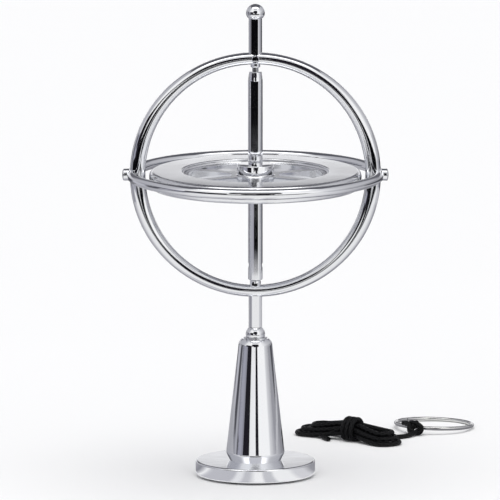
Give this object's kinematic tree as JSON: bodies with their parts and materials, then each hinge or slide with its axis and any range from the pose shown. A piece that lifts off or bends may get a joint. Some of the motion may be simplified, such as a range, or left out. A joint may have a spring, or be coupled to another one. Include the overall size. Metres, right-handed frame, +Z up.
{
  "type": "gyroscope on stand",
  "caption": "Toy gyroscope: spoked rotor on an axle inside crossed rings, balanced by a ball end on a conical stand, with a pull string on a wire ring.",
  "frame": {"origin": "centre of the flat underside of the base, where the stand rests", "axes": "+Z up along the tower and the spin axis; the vertical ring lies in the XZ plane, +Y is the back"},
  "size_m": [0.0893, 0.1092, 0.1198],
  "materials": {
    "chromed_zinc": "polished chrome plating",
    "plated_steel": "polished nickel plating",
    "steel": "turned bright",
    "plated_wire": "bright drawn wire",
    "black_foam": "closed-cell foam",
    "black_cord": "braided polyester cord"
  },
  "bodies": {
    "stand": {"base_pad": "black_foam", "base_disc": "chromed_zinc", "tower": "chromed_zinc", "tower_screw": "steel", "pivot_cup": "chromed_zinc"},
    "pivot": {"lower_ball": "chromed_zinc"},
    "frame": {"lower_stem": "chromed_zinc", "vertical_ring": "chromed_zinc", "horizontal_ring": "chromed_zinc", "left_ring_rivet": "chromed_zinc", "right_ring_rivet": "chromed_zinc", "upper_stem": "chromed_zinc", "stem_cross_pin": "steel", "upper_bearing": "steel", "lower_bearing": "steel"},
    "rotor": {"rotor_wheel": "chromed_zinc", "axle": "plated_steel", "upper_pivot": "steel", "lower_pivot": "steel"},
    "pull_string": {"pull_ring": "plated_wire", "string_knot": "black_cord", "string_lead": "black_cord", "string_hank": "black_cord", "string_tail": "black_cord"}
  },
  "joints": [
    {"name": "precession", "type": "hinge", "parent": "stand", "child": "pivot", "pos_m": [0, 0, 0.0359], "axis": [0, 0, 1], "continuous": true},
    {"name": "lean", "type": "hinge", "parent": "pivot", "child": "frame", "pos_m": [0, 0, 0.0359], "axis": [1, 0, 0], "range_deg": [-55, 55]},
    {"name": "rotor_spin", "type": "hinge", "parent": "frame", "child": "rotor", "pos_m": [0, 0, 0.0765], "axis": [0, 0, 1], "continuous": true},
    {"name": "string_lift", "type": "slide", "parent": "stand", "child": "pull_string", "axis": [0, 0, 1], "range_m": [0, 0.02]}
  ]
}
